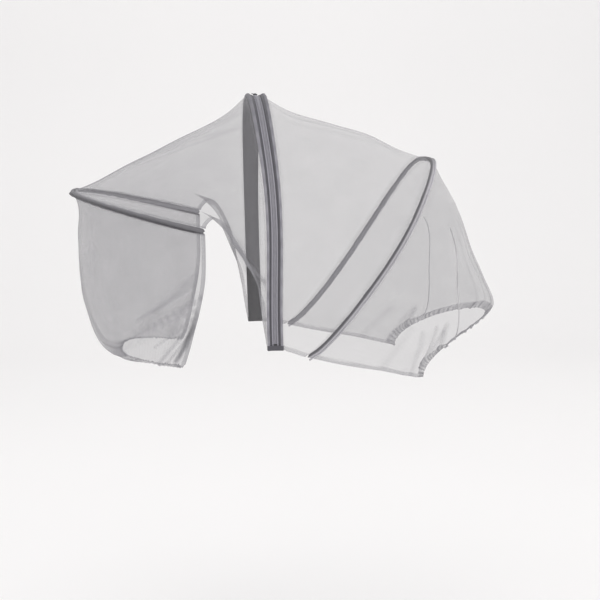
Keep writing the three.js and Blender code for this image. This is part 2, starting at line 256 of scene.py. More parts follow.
def frames_at(line, share):
    """Points on a line with the side direction, towards the head end, and the out direction."""
    share = np.asarray(share, float)
    along = unit(line(share + FRAME_STEP) - line(share - FRAME_STEP))
    side = unit(np.array([1.0, 0, 0]) - along * along[..., :1])
    return line(share), side, unit(np.cross(side, along))


def swell(size, share):
    """A casing's width or thickness: full at the top of the arch and slim down its legs."""
    fullness = np.sin(math.pi * np.clip(share, 0, 1)) ** SWELL_POWER
    return size["foot"] + (size["top"] - size["foot"]) * fullness


def row_line(row):
    """The line of one row: a bow, or the line along the outer edge of the zip band."""
    line = bow_line(row)
    if "beside" not in row:
        return line

    def beside(share):
        point, side, out = frames_at(line, share)
        reach = CHAIN_WIDTH / 2 + TAPE_WIDTH + swell(CASING_WIDTH, share) + 3 * GAP
        return point + side * (row["beside"] * reach)[:, None] - out * PANEL_DROP

    return beside


def share_at(row, columns):
    """Shares of a bow's length at columns, with the seam's column at the bow's own seam."""
    seam = row.get("seam", SEAM_COLUMN)
    half = np.minimum(columns, 1 - columns)
    inner = seam + (half - SEAM_COLUMN) / (0.5 - SEAM_COLUMN) * (0.5 - seam)
    share = np.where(half < SEAM_COLUMN, half / SEAM_COLUMN * seam, inner)
    return np.where(columns < 0.5, share, 1 - share)


def curve_through(points, place):
    """Points at a place from 0 to 1 on smooth curves through rows of points."""
    last = len(points) - 1
    i = min(int(place * last), last - 1)
    w = place * last - i
    p1, p2 = points[i], points[i + 1]
    p0 = points[i - 1] if i > 0 else 2 * p1 - p2
    p3 = points[i + 2] if i + 2 <= last else 2 * p2 - p1
    pairs = ((p0, p1), (p1, p2), (p2, p3))
    d0, d1, d2 = (np.linalg.norm(b - a, axis=-1, keepdims=True) ** 0.5 for a, b in pairs)
    d0, d2 = np.maximum(d0, LEAST_REACH), np.maximum(d2, LEAST_REACH)
    t1 = ((p1 - p0) / d0 - (p2 - p0) / (d0 + d1) + (p2 - p1) / d1) * d1
    t2 = ((p2 - p1) / d1 - (p3 - p1) / (d1 + d2) + (p3 - p2) / d2) * d1
    return p1 + t1 * w + (-3 * p1 + 3 * p2 - 2 * t1 - t2) * w**2 + (2 * p1 - 2 * p2 + t1 + t2) * w**3


def outward(grid):
    """Unit normals of a grid of points, away from the inside of the net."""
    return unit(np.cross(np.gradient(grid, axis=1), np.gradient(grid, axis=0)))


def panel_columns(low=0.0, high=1.0):
    """Evenly spaced columns of a panel, or of a part of one."""
    return even_shares(low, high, round(ACROSS_STEPS * (high - low)))


def panel_grid(rows, columns, low=0.0, high=1.0):
    """The smooth grid of a panel between two places from its first row (0) to its last (1)."""
    lines = np.array([row_line(row)(share_at(row, columns)) for row in rows])
    cells = round((len(rows) - 1) * ROW_CELLS * (high - low))
    return np.array([curve_through(lines, place) for place in np.linspace(low, high, cells + 1)])


# How a crease wanders from row to row, and where it ends
CREASE_SWAY = 0.008
CREASE_BEND = 3.1
CREASE_SHIFT = 1.7
CREASE_END = 0.02

# The crossing waves of an uneven field, and the steps and strengths of gathers
WANDER_WAVES = 7
WANDER_SCALES = (0.6, 1.6)
WANDER_PHASES = (0, 6.3)
WANDER_SUM = 4
GATHER_STEPS = (0.55, 1.5)
GATHER_STRENGTHS = (0.4, 1.0)
FADE_POWER = 1.5
BAND_SOFTNESS = 0.4


def fold_field(folds, grid):
    """How far the folds lift each point, and how much denser they make the cloth there."""
    height = np.zeros(grid.shape[:2])
    dense = np.zeros(grid.shape[:2])
    flat = grid[..., [0, 2]]
    for side, start, end, spread, lift, gather in folds:
        run = np.array(end, float) - start
        offset = flat - start
        along = np.clip(offset @ run / (run @ run), 0, 1)
        distance = np.linalg.norm(offset - along[..., None] * run, axis=-1) / spread
        bump = (1 - np.minimum(distance, 1) ** 2) ** 2 * (np.sign(grid[..., 1]) == side)
        height += lift * bump
        dense += gather * bump**2
    return height, dense


def crease_field(creases, columns, rows):
    """The same for creases that run from row to row, wandering a little and fading at their ends."""
    along = np.linspace(0, 1, rows)[:, None]
    height = np.zeros((rows, len(columns)))
    dense = np.zeros_like(height)
    for number, (place, spread, lift, gather) in enumerate(creases):
        turn = 1 if place < 0.5 else -1
        middle = place + CREASE_SWAY * np.sin(CREASE_BEND * along + number * CREASE_SHIFT) * turn
        bump = np.exp(-(((columns[None, :] - middle) / spread) ** 2))
        bump = bump * np.sin(math.pi * np.clip(along, CREASE_END, 1 - CREASE_END)) ** 0.5
        height += lift * bump
        dense += gather * bump
    return height, dense


def wander(grid, scale, seed):
    """A smooth uneven field, mostly between -1 and 1, over a grid, from a few crossing waves."""
    rng = random.Random(seed)
    total = np.zeros(grid.shape[:2])
    for _ in range(WANDER_WAVES):
        direction = np.array([rng.gauss(0, 1) for _ in range(3)])
        direction *= 2 * math.pi / (scale * rng.uniform(*WANDER_SCALES) * np.linalg.norm(direction))
        total += np.sin(grid @ direction + rng.uniform(*WANDER_PHASES))
    return total / WANDER_SUM


def ruffle(columns, count, seed):
    """Uneven gathers across the columns, about count of them, from -1 to 1."""
    rng = random.Random(seed)
    steps = [rng.uniform(*GATHER_STEPS) for _ in range(count + 1)]
    marks = np.concatenate([[0], np.cumsum(steps)])
    phase = np.interp(columns, marks / marks[-1], np.arange(len(marks)))
    strength = np.interp(columns, marks / marks[-1], [rng.uniform(*GATHER_STRENGTHS) for _ in marks])
    return np.sin(2 * math.pi * phase) * strength


def edge_fade(count, reach):
    """1 at the first row and 0 from row reach on."""
    return np.clip(1 - np.arange(count) / reach, 0, 1)[:, None] ** FADE_POWER


def band(count, share):
    """1 over the first rows, up to a share of them, and 0 after it, with a soft end."""
    place = np.linspace(0, 1, count)
    return np.clip((share - place) / (BAND_SOFTNESS * share) + 0.5, 0, 1)[:, None]


def edge_bands(count, first, last):
    """Denser cloth along the first and the last row: how much denser, and over what share of the rows."""
    return first[0] * band(count, first[1]) + last[0] * band(count, last[1])[::-1]


# Meshes


def add_object(name, data):
    made = bpy.data.objects.new(name, data)
    bpy.context.scene.collection.objects.link(made)
    return made


def painted(made, values):
    """Keeps one number for each point of a piece, which its material reads as gather: on the net how much
    denser it is, on the sleeves and casings how strong their painted highlight and painted light are, on the
    tapes how pale.
    """
    attribute = made.data.attributes.new("gather", "FLOAT", "POINT")
    attribute.data.foreach_set("value", np.asarray(values, float).ravel())
    return made


def new_object(name, points, faces, material, uvs=None):
    """A mesh object that rides on the part, from points in millimetres."""
    mesh = bpy.data.meshes.new(name)
    mesh.from_pydata((np.asarray(points, float) * MM).tolist(), [], faces)
    if uvs is not None:
        layer = mesh.uv_layers.new(name="cloth")
        order = np.zeros(len(mesh.loops), np.int32)
        mesh.loops.foreach_get("vertex_index", order)
        layer.data.foreach_set("uv", (np.asarray(uvs, float) * MM)[order].ravel())
    mesh.materials.append(material)
    mesh.shade_smooth()
    made = add_object(name, mesh)
    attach(made, "root")
    return made


def grid_faces(rows, width, closed=False):
    """Quads of a grid, with its last column joined to its first if closed."""
    faces = []
    last = width if closed else width - 1
    for row in range(rows - 1):
        for column in range(last):
            a = row * width + column
            b = row * width + (column + 1) % width
            faces.append((a, b, b + width, a + width))
    return faces


def grid_lengths(grid):
    """Cloth coordinates of a grid in millimetres, from the mean lengths of its rows and columns."""
    across = np.linalg.norm(np.diff(grid, axis=1), axis=2)
    along = np.linalg.norm(np.diff(grid, axis=0), axis=2)
    u = np.concatenate([[0], np.cumsum(across.mean(axis=0))])
    v = np.concatenate([[0], np.cumsum(along.mean(axis=1))])
    return np.stack(np.meshgrid(u, v), axis=-1)


def cloth(name, points, faces, uvs, dense):
    """A piece of net as a single layer."""
    made = painted(new_object(name, points, faces, NET, uvs), dense)
    return made


def grid_cloth(name, grid, dense):
    """One panel of net from its grid."""
    uvs = grid_lengths(grid).reshape(-1, 2)
    return cloth(name, grid.reshape(-1, 3), grid_faces(*grid.shape[:2]), uvs, dense)


def tube(name, frames, section, material, close_ends=True):
    """A bar swept along frames; section(step) gives its (across, up) corners, turning one way."""
    points, sides, outs = frames
    rings = [section(step) for step in range(len(points))]
    count = len(rings[0])
    lengths = lengths_along(points)
    made, uvs = [], []
    for step, ring in enumerate(rings):
        ring = np.array(ring, float)
        made.append(points[step] + np.outer(ring[:, 0], sides[step]) + np.outer(ring[:, 1], outs[step]))
        uvs.append(np.stack([lengths_along(ring), np.full(count, lengths[step])], axis=-1))
    faces = [tuple(reversed(face)) for face in grid_faces(len(rings), count, closed=True)]
    if close_ends:
        faces.append(tuple(range(count)))
        faces.append(tuple(reversed([(len(rings) - 1) * count + i for i in range(count)])))
    made = new_object(name, np.concatenate(made), faces, material, np.concatenate(uvs))
    return made


def strip_faces(first, steps):
    """The quads of a strip that has three points, side by side, at each of its steps."""
    faces = []
    for a in range(first, first + 3 * (steps - 1), 3):
        faces.append((a, a + 1, a + 4, a + 3))
        faces.append((a + 1, a + 2, a + 5, a + 4))
    return faces


# A stitch's profile, as shares of its length and its radius, how deep it sinks in, how thin its ends are
# and how round it is
STITCH_PROFILE = [(-0.5, 0.0), (-0.32, 0.85), (0.32, 0.85), (0.5, 0.0)]
STITCH_SINK = 0.3
STITCH_THIN = 0.35
STITCH_ROUND = 0.5


def stitch_row(name, frames, across, up, size):
    """A row of small stitches along frames, with an across and an up for each frame. Their size is a length,
    a pitch and a radius."""
    points, sides, outs = frames
    length, pitch, radius = size
    line = points + sides * across[:, None] + outs * up[:, None]
    lengths = lengths_along(line)
    count = int(lengths[-1] / pitch)
    corners, faces = [], []

    def on(values, at):
        return np.array([np.interp(at, lengths, values[:, k]) for k in range(3)])

    for number in range(count):
        middle = (number + 0.5) * lengths[-1] / count
        side, out = on(sides, middle), on(outs, middle)
        faces += strip_faces(len(corners), len(STITCH_PROFILE))
        for place, height in STITCH_PROFILE:
            centre = on(line, middle + place * length) + out * radius * (height - STITCH_SINK)
            wide = radius * (STITCH_THIN + (1 - STITCH_THIN) * height)
            corners.append(centre - side * wide)
            corners.append(centre + out * wide * STITCH_ROUND)
            corners.append(centre + side * wide)
    new_object(name, corners, faces, THREAD)


# Materials


# The scale at which the wave texture has one wave to a unit
WAVE_SCALE = math.pi / 10


class Nodes:
    """Short names for building a node tree."""

    def __init__(self, name):
        self.material = bpy.data.materials.new(name)
        self.material.use_nodes = True
        self.tree = self.material.node_tree
        self.shader = self.tree.nodes["Principled BSDF"]

    def add(self, kind, inputs=None, **values):
        node = self.tree.nodes.new(kind)
        for key, value in values.items():
            setattr(node, key, value)
        for key, value in (inputs or {}).items():
            self.feed(node.inputs[key], value)
        return node

    def feed(self, socket, value):
        """Links a socket to another node's socket, or sets it to a constant."""
        if isinstance(value, bpy.types.NodeSocket):
            self.tree.links.new(value, socket)
        else:
            socket.default_value = value

    def math(self, operation, a, b):
        return self.add("ShaderNodeMath", {0: a, 1: b}, operation=operation).outputs[0]

    def gather(self):
        """The number kept for each point of the piece."""
        return self.add("ShaderNodeAttribute", attribute_name="gather").outputs["Fac"]

    def place(self, scale, turn):
        """Cloth coordinates in steps of scale millimetres."""
        coordinates = self.add("ShaderNodeUVMap", uv_map="cloth").outputs[0]
        size = 1 / (scale * MM)
        mapping = self.add("ShaderNodeMapping", {0: coordinates, 2: (0, 0, turn), 3: (size, size, size)})
        return mapping.outputs[0]

    def threads(self, pitch, turn):
        """Parallel threads, 1 along each and 0 between, pitch millimetres apart."""
        wave = self.add("ShaderNodeTexWave", {"Vector": self.place(pitch, turn), "Scale": WAVE_SCALE})
        return wave.outputs["Fac"]

    def noise(self, size, detail, seed=0.0):
        """Soft blotches about size millimetres across, in the part's own space."""
        position = self.add("ShaderNodeNewGeometry").outputs["Position"]
        shift = self.add("ShaderNodeVectorMath", {0: position, 1: (seed, seed, seed)}, operation="ADD")
        inputs = {"Vector": shift.outputs[0], "Scale": 1 / (size * MM), "Detail": detail}
        node = self.add("ShaderNodeTexNoise", inputs)
        return node.outputs["Fac"]

    def mix(self, factor, a, b):
        node = self.add("ShaderNodeMix", data_type="RGBA")
        for socket, value in ((0, factor), (6, a), (7, b)):
            self.feed(node.inputs[socket], (*value, 1) if isinstance(value, tuple) else value)
        return node.outputs[2]

    def bump(self, height, strength, distance):
        node = self.add("ShaderNodeBump", {"Height": height, "Strength": strength, "Distance": distance})
        self.tree.links.new(node.outputs[0], self.shader.inputs["Normal"])

    def set(self, **values):
        for name, value in values.items():
            self.feed(self.shader.inputs[name.replace("_", " ")], value)
        return self.material


# The net's threads: two slanting sets and one straight set, by their pitch in millimetres and their slant
SLANTING_PITCH = 1.5
SLANT = 0.95
STRAIGHT_PITCH = 1.7

# How much of what lies behind the net is covered: in its holes, more at its threads, by blotches, at most
HOLE_COVER = 0.18
THREAD_COVER = 0.22
BLOTCH_COVER = 0.10
MOST_COVER = 0.93


def net_material():
    """Fine see-through net: sets of threads that cross, denser where the cloth is gathered."""
    n = Nodes("net")
    crossing = n.math("MAXIMUM", n.threads(SLANTING_PITCH, SLANT), n.threads(SLANTING_PITCH, -SLANT))
    crossing = n.math("MAXIMUM", crossing, n.threads(STRAIGHT_PITCH, 0.0))
    blotches = n.math("SUBTRACT", n.noise(size=55, detail=2.0), 0.5)
    holes = n.math("ADD", n.math("MULTIPLY", crossing, THREAD_COVER), HOLE_COVER)
    cover = n.math("ADD", holes, n.math("MULTIPLY", blotches, BLOTCH_COVER))
    cover = n.math("MULTIPLY", cover, n.math("ADD", n.gather(), 1.0))
    cover = n.math("MINIMUM", cover, MOST_COVER)
    patches = n.noise(size=18, detail=4.0, seed=3.0)
    color = n.mix(patches, (0.27, 0.266, 0.285), (0.34, 0.336, 0.357))
    n.bump(crossing, strength=0.25, distance=0.0004)
    n.material.surface_render_method = "BLENDED"
    return n.set(Base_Color=color, Alpha=cover, Roughness=0.82, Sheen_Weight=0.25, Sheen_Roughness=0.4)


# Woven cloth: the slant of its threads, how much its weave and its blotches show, and the pale parts' range
WEAVE_SLANT = 0.785
WEAVE_SHARE = 0.45
BLOTCH_SHARE = 0.55
PALE_RANGE = (0.8, 1.15)


def woven_material(name, dark, light, pitch, pale=None):
    """Dense woven cloth with a fine weave and blotches. Where the piece is painted it is paler, which on the
    sleeves and casings is painted highlight and painted light.
    """
    n = Nodes(name)
    weave = n.math("MULTIPLY", n.threads(pitch, WEAVE_SLANT), n.threads(pitch, -WEAVE_SLANT))
    blotches = n.noise(size=9, detail=4.0, seed=2.0)
    weave_part = n.math("MULTIPLY", weave, WEAVE_SHARE)
    amount = n.math("ADD", weave_part, n.math("MULTIPLY", blotches, BLOTCH_SHARE))
    color = n.mix(amount, dark, light)
    if pale:
        pale_low, pale_high = (tuple(share * k for k in pale) for share in PALE_RANGE)
        color = n.mix(n.gather(), color, n.mix(amount, pale_low, pale_high))
    n.bump(weave, strength=0.5, distance=0.0005)
    return n.set(Base_Color=color, Roughness=0.85, Sheen_Weight=0.2, Sheen_Roughness=0.45)


def metal_material():
    """Dark enamel, a little rougher where it is rubbed."""
    n = Nodes("metal")
    worn = n.noise(size=3, detail=5.0)
    color = n.mix(worn, (0.06, 0.06, 0.064), (0.16, 0.16, 0.168))
    rough = n.math("ADD", n.math("MULTIPLY", worn, 0.25), 0.28)
    n.bump(n.noise(size=0.8, detail=3.0), strength=0.15, distance=0.0002)
    return n.set(Base_Color=color, Roughness=rough, Metallic=0.75)


def coil_material():
    """Satin nylon coil."""
    n = Nodes("teeth")
    color = n.mix(n.noise(size=6, detail=3.0), (0.28, 0.274, 0.308), (0.4, 0.392, 0.432))
    n.bump(n.noise(size=0.7, detail=2.0), strength=0.2, distance=0.0002)
    return n.set(Base_Color=color, Roughness=0.45)


def backdrop_material():
    n = Nodes("backdrop")
    color = n.mix(n.noise(size=900, detail=1.0), (0.9, 0.895, 0.895), (0.92, 0.915, 0.915))
    return n.set(Base_Color=color, Roughness=0.9)


NET = net_material()
# The colour of the sleeves' painted highlight and of the painted light on their inner side
SLEEVE_PAINTED_LIGHT = (0.58, 0.57, 0.605)
SLEEVE = woven_material("sleeve", (0.095, 0.093, 0.102), (0.15, 0.148, 0.16), 0.9, SLEEVE_PAINTED_LIGHT)
# The colour of the casings' painted highlight
CASING_HIGHLIGHT = (0.37, 0.362, 0.403)
CASING = woven_material("casing", (0.085, 0.083, 0.096), (0.135, 0.132, 0.15), 0.9, CASING_HIGHLIGHT)
LINING = woven_material("lining", (0.105, 0.104, 0.108), (0.145, 0.143, 0.149), 1.1)
TAPE_PALE = (0.4, 0.391, 0.44)
TAPE = woven_material("tape", (0.12, 0.117, 0.135), (0.18, 0.176, 0.2), 0.8, TAPE_PALE)
THREAD = woven_material("thread", (0.24, 0.236, 0.255), (0.4, 0.395, 0.42), 0.5)
SEAM = woven_material("seam", (0.55, 0.545, 0.56), (0.72, 0.715, 0.735), 0.7)
TEETH = coil_material()
METAL = metal_material()


# Panels


def cut_short(grid, first=0.0, last=0.0):
    """A grid whose columns stop short of its first and its last row by so many millimetres."""
    steps = np.linalg.norm(np.diff(grid, axis=0), axis=2)
    lengths = np.concatenate([np.zeros((1, grid.shape[1])), np.cumsum(steps, axis=0)])
    cut = np.empty_like(grid)
    for column, along in enumerate(lengths.T):
        places = first + along * (along[-1] - first - last) / along[-1]
        for k in range(3):
            cut[:, column, k] = np.interp(places, along, grid[:, column, k])
    return cut


def raised(grid, height):
    """A grid with each point lifted along its normal, apart from the first and last rows."""
    height = height.copy()
    height[0] = height[-1] = 0
    return grid + outward(grid) * height[..., None]


def hem(grid, near=True, far=True):
    """Density of the turned hems along the side edges, equally wide all the way along them."""
    dense = np.zeros(grid.shape[:2])
    places = np.linspace(0, len(grid) - 1, HEM_SAMPLES * len(grid))
    rows = np.arange(len(grid))
    for wanted, column, columns in ((near, 0, slice(0, HEM_COLUMNS)), (far, -1, slice(-HEM_COLUMNS, None))):
        if wanted:
            edge = np.stack([np.interp(places, rows, grid[:, column, k]) for k in range(3)], axis=-1)
            distance = np.linalg.norm(grid[:, columns, None] - edge, axis=-1).min(axis=-1)
            dense[:, columns] = HEM_DENSE * np.clip((HEM_WIDTH - distance) / HEM_SOFTNESS, 0, 1)
    return dense


# Where the net stops at a hoop, and the first and last rows' denser bands
AT_HOOP = HOOP_RADIUS + HOOP_GAP
FOOT_BANDS = dict(first=(0.9, 0.035), last=(0.5, 0.03))
FRONT_BANDS = dict(first=(0.9, 0.035), last=(0.3, 0.02))
CROWN_BANDS = dict(first=(0.3, 0.02), last=(0.4, 0.03))
HEAD_BAND_DENSE = 0.4
HEAD_BAND_SHARE = 0.05

# The foot panel: gathers above its hem, small waves down its two sides, and its own density
FOOT_GATHERS = dict(count=62, seed=4)
FOOT_GATHER_REACH = 0.45
FOOT_GATHER_LIFT = 3.2
FOOT_GATHER_DENSE = 0.7
FOOT_SIDE = 0.2
FOOT_WAVES_DOWN = 52
FOOT_WAVES_ACROSS = 26
FOOT_WAVE_LIFT = 1.5
FOOT_UNEVEN_LIFT = 1.6
FOOT_DENSE = 0.2


def foot_panel():
    """The deep panel round the foot end, from its hem up to the foot hoop."""
    columns = panel_columns()
    grid = panel_grid(FOOT_ROWS, columns)
    rows = len(grid)
    lift, dense = fold_field(FOOT_FOLDS, grid)
    gathers = ruffle(columns, **FOOT_GATHERS)[None, :]
    low = edge_fade(rows, FOOT_GATHER_REACH * rows)
    side = np.clip(1 - np.minimum(columns, 1 - columns) / FOOT_SIDE, 0, 1)[None, :]
    lift = lift + gathers * low * FOOT_GATHER_LIFT + wander(grid, scale=70, seed=11) * FOOT_UNEVEN_LIFT
    phase = np.linspace(0, FOOT_WAVES_DOWN, rows)[:, None] + columns[None, :] * FOOT_WAVES_ACROSS
    lift = lift + np.sin(phase) * side**2 * FOOT_WAVE_LIFT
    dense = dense + np.clip(gathers, 0, 1) * low * FOOT_GATHER_DENSE + hem(grid) + FOOT_DENSE
    toe_lift, toe_dense = crease_field(TOE_CREASES, columns, rows)
    dense = dense + toe_dense + edge_bands(rows, **FOOT_BANDS)
    return grid_cloth("foot_net", cut_short(raised(grid, lift + toe_lift), last=AT_HOOP), dense)


# How uneven the front and the crown are, and their own densities. The front's runs from the foot hoop up to
# the zip
FRONT_UNEVEN_LIFT = 1.6
CROWN_UNEVEN_LIFT = 1.5
FRONT_DENSE = (0.15, -0.2)
CROWN_DENSE = -0.33


def front_panel():
    """The slope, from the foot hoop up to the zip band."""
    columns = panel_columns()
    grid = panel_grid(FRONT_ROWS, columns)
    rows = len(grid)
    lift, dense = fold_field(FRONT_FOLDS, grid)
    crease_lift, crease_dense = crease_field(SLOPE_CREASES, columns, rows)
    lift = lift + crease_lift + wander(grid, scale=90, seed=21) * FRONT_UNEVEN_LIFT
    dense = dense + crease_dense + hem(grid) + np.linspace(*FRONT_DENSE, rows)[:, None]
    dense += edge_bands(rows, **FRONT_BANDS)
    return grid_cloth("front_net", cut_short(raised(grid, lift), first=AT_HOOP), dense)


def crown_panel():
    """The top, from the zip band back to the rear hoop."""
    columns = panel_columns()
    grid = panel_grid(CROWN_ROWS, columns)
    rows = len(grid)
    crease_lift, dense = crease_field(CROWN_CREASES, columns, rows)
    dense = dense + hem(grid) + CROWN_DENSE + edge_bands(rows, **CROWN_BANDS)
    grid = raised(grid, crease_lift + wander(grid, scale=100, seed=31) * CROWN_UNEVEN_LIFT)
    return grid_cloth("crown_net", cut_short(grid, last=AT_HOOP), dense)


# The head end: gathers and a finer frill above its hem, with the share of the way from the rear hoop down to
# the hem at which each starts, and the head end's own density
HEAD_GATHERS = 70
HEAD_GATHER_FROM = 0.62
HEAD_GATHER_LIFT = 3.0
HEAD_GATHER_DENSE = 0.8
FRILL_GATHERS = 170
FRILL_SEED_STEP = 7
FRILL_FROM = 0.64
FRILL_SOFTNESS = 0.06
FRILL_LIFT = 1.6
FRILL_DENSE = (0.5, 1.9)
HEAD_UNEVEN_LIFT = 1.8
HEAD_DENSE = -0.15

# The share of the way down at which the head panel parts into its two sides and the back panel
HEAD_SHOULDER = 1 / (len(HEAD_ROWS) - 1)


def head_part(column_low, column_high, low, high, seed, creases):
    """The grid and the density of one field of the head end, between two columns and two places down it."""
    columns = panel_columns(column_low, column_high)
    grid = panel_grid(HEAD_ROWS, columns, low, high)
    rows = len(grid)
    lift, dense = fold_field(HEAD_FOLDS, grid)
    crease_lift, crease_dense = crease_field(creases, columns, rows)
    along = np.linspace(low, high, rows)[:, None]
    width = column_high - column_low
    gathers = ruffle(columns, round(HEAD_GATHERS * width), seed)[None, :]
    low_down = np.clip((along - HEAD_GATHER_FROM) / (1 - HEAD_GATHER_FROM), 0, 1) ** FADE_POWER
    lift = lift + crease_lift + gathers * low_down * HEAD_GATHER_LIFT
    lift = lift + wander(grid, scale=60, seed=seed) * HEAD_UNEVEN_LIFT
    frill = ruffle(columns, round(FRILL_GATHERS * width), seed + FRILL_SEED_STEP)[None, :]
    rim = np.clip((along - FRILL_FROM) / FRILL_SOFTNESS, 0, 1)
    lift = lift + frill * rim * FRILL_LIFT
    dense = dense + crease_dense + np.clip(gathers, 0, 1) * low_down * HEAD_GATHER_DENSE
    dense = dense + rim * (FRILL_DENSE[0] + FRILL_DENSE[1] * np.clip(frill, 0, 1)) + HEAD_DENSE
    dense = dense + hem(grid, near=column_low == 0, far=column_high == 1)
    return raised(grid, lift), dense


def head_panels():
    """The head panel in three fields, joined as one piece, and the back panel between its seams."""
    over, over_dense = head_part(0, 1, 0, HEAD_SHOULDER, seed=41, creases=[])
    over = cut_short(over, first=AT_HOOP)
    over_dense += HEAD_BAND_DENSE * band(len(over), HEAD_BAND_SHARE)
    near = head_part(0, SEAM_COLUMN, HEAD_SHOULDER, 1, seed=42, creases=[])
    far = head_part(1 - SEAM_COLUMN, 1, HEAD_SHOULDER, 1, seed=43, creases=[])
    points, uvs, dense, faces = [], [], [], []
    start = 0
    for grid, density in ((over, over_dense), near, far):
        rows, width = grid.shape[:2]
        points.append(grid.reshape(-1, 3))
        uvs.append(grid_lengths(grid).reshape(-1, 2))
        dense.append(density.ravel())
        faces += [tuple(i + start for i in face) for face in grid_faces(rows, width)]
        start += rows * width
    head = cloth("head_net", np.concatenate(points), faces, np.concatenate(uvs), np.concatenate(dense))
    back_grid, back_dense = head_part(
        SEAM_COLUMN, 1 - SEAM_COLUMN, HEAD_SHOULDER, 1, seed=44, creases=HEAD_CREASES
    )
    return head, grid_cloth("back_net", back_grid, back_dense), back_grid


# Hoops


# The sleeves: how much they crumple and how uneven they are round, how slim their ends close, and how their
# painted highlight and the painted light on their inner side fade round and along them
SLEEVE_CRUMPLE = 0.035
SLEEVE_LOBES = 0.03
SLEEVE_TIP = 0.04
HIGHLIGHT_EDGE = 0.3
INSIDE_PAINTED_LIGHT = 0.45
MIDDLE_HIGHLIGHT = 0.1
MIDDLE_POWER = 24

# The seam allowance along a sleeve: across, up, and whether the point waves up and down, how much it waves,
# how far out it starts as a share of the hoop's radius, and its stitches' place and size
ALLOWANCE_PROFILE = [(0, -0.5, 0), (0, 0.5, 0), (2.6, 0.45, 1), (3.4, 0, 1), (2.6, -0.45, 1)]
ALLOWANCE_WAVE = 0.5
ALLOWANCE_ROOT = 0.9
ALLOWANCE_STITCH_PLACE = (1.4, 0.55)
ALLOWANCE_STITCH = (2.0, 3.4, 0.35)


def hoop_piece(name, hoop, seam, highlight):
    """A rod in its sewn sleeve, with the narrow seam allowance that stands along one side. A painted
    highlight runs along the sleeve as a pale band, weaker round the middle of the bow, and its inner side is
    painted paler as light through it. Seam and highlight each give the turn round the sleeve in degrees and
    how strong that painted highlight is."""
    seam_turn, seam_highlight = seam
    highlight_turn, pale = highlight
    line = bow_line(hoop)
    shares = even_shares(0, 1, HOOP_STEPS)
    frames = frames_at(line, shares)
    rng = random.Random(name)
    waves = [(rng.uniform(0.2, 0.9), rng.uniform(0, 6)) for _ in range(5)]
    turns = [-2 * math.pi * i / HOOP_SIDES for i in range(HOOP_SIDES)]

    def section(step):
        crumple = 1 + SLEEVE_CRUMPLE * sum(math.sin(step * k + shift) for k, shift in waves) / 2
        from_end = min(step, HOOP_STEPS - step)
        crumple *= math.sqrt(1 - (1 - min(from_end / 2, 1)) ** 2) * (1 - SLEEVE_TIP) + SLEEVE_TIP
        ring = []
        for angle in turns:
            radius = SLEEVE_RADIUS * crumple * (1 + SLEEVE_LOBES * math.sin(3 * angle + step * 0.3))
            ring.append((radius * math.cos(angle), radius * math.sin(angle)))
        return ring

    sleeve = tube(name, frames, section, SLEEVE)
    # Painted highlight round one side of the sleeve, weaker mid-bow, and painted light on its inner side
    facing = [math.cos(angle - math.radians(highlight_turn)) for angle in turns]
    around = [max(0.0, k - HIGHLIGHT_EDGE) / (1 - HIGHLIGHT_EDGE) for k in facing]
    inside = [INSIDE_PAINTED_LIGHT * max(0.0, -math.sin(angle)) for angle in turns]
    along = pale + (MIDDLE_HIGHLIGHT - pale) * np.sin(math.pi * shares) ** MIDDLE_POWER
    painted(sleeve, np.outer(along, around) + np.array(inside))
    points, sides, outs = frames
    turn = math.radians(seam_turn)
    edge = sides * math.cos(turn) + outs * math.sin(turn)
    flat = unit(np.cross(edge, np.gradient(points, axis=0)))
    seam_frames = (points + edge * HOOP_RADIUS * ALLOWANCE_ROOT, edge, flat)

    def seam_section(step):
        wave = ALLOWANCE_WAVE * math.sin(step * 0.7)
        return [(across, up + wave * waves_along) for across, up, waves_along in ALLOWANCE_PROFILE]

    allowance = tube(name + "_seam", seam_frames, seam_section, SLEEVE)
    # The allowance is painted pale along with the sleeve's painted highlight
    painted(allowance, np.repeat(seam_highlight * along, len(ALLOWANCE_PROFILE)))
    across, up = (np.full(len(points), place) for place in ALLOWANCE_STITCH_PLACE)
    stitch_row(name + "_stitches", seam_frames, across, up, ALLOWANCE_STITCH)
    return sleeve


# The zip band


# How the band's pieces lose their pale parts towards the top of the arch
TOP_FADE = 0.8
TOP_POWER = 12


def arch_frames(low=0.0, high=1.0, steps=ARCH_STEPS):
    shares = even_shares(low, high, steps)
    return shares, frames_at(bow_line(ZIP_BOW), shares)


def top_fade(shares):
    """How pale the band's pieces are along the arch: full down its legs and little at its top."""
    return 1 - TOP_FADE * np.sin(math.pi * shares) ** TOP_POWER


# A casing's profile from its inner edge: shares of its width and of half its thickness
CASING_PROFILE = [
    (0.0, 0.1),
    (0.04, 0.42),
    (0.16, 0.5),
    (0.28, 0.48),
    (0.34, 0.3),
    (0.38, 0.62),
    (0.48, 0.95),
    (0.64, 1.08),
    (0.8, 1.0),
    (0.93, 0.66),
    (1.0, 0.1),
    (0.95, -0.5),
    (0.75, -0.85),
    (0.4, -0.9),
    (0.1, -0.6),
]


# How a casing puffs along the arch and at its top, where its groove lies, from where across it and above
# what height its painted highlight lies, for the front (-1) and the rear (1) one, how uneven that is, and
# its stitches
CASING_PUFF = 0.07
CASING_TOP_PUFF = 0.28
CASING_TOP_POWER = 20
CASING_GROOVE = 0.33
CASING_HIGHLIGHT_FROM = {-1: 0.36, 1: 0.47}
CASING_HIGHLIGHT_ABOVE = -0.6
CASING_STREAKS = 0.15
CASING_STITCH_UP = 0.4
CASING_STITCH = (2.2, 3.6, 0.4)


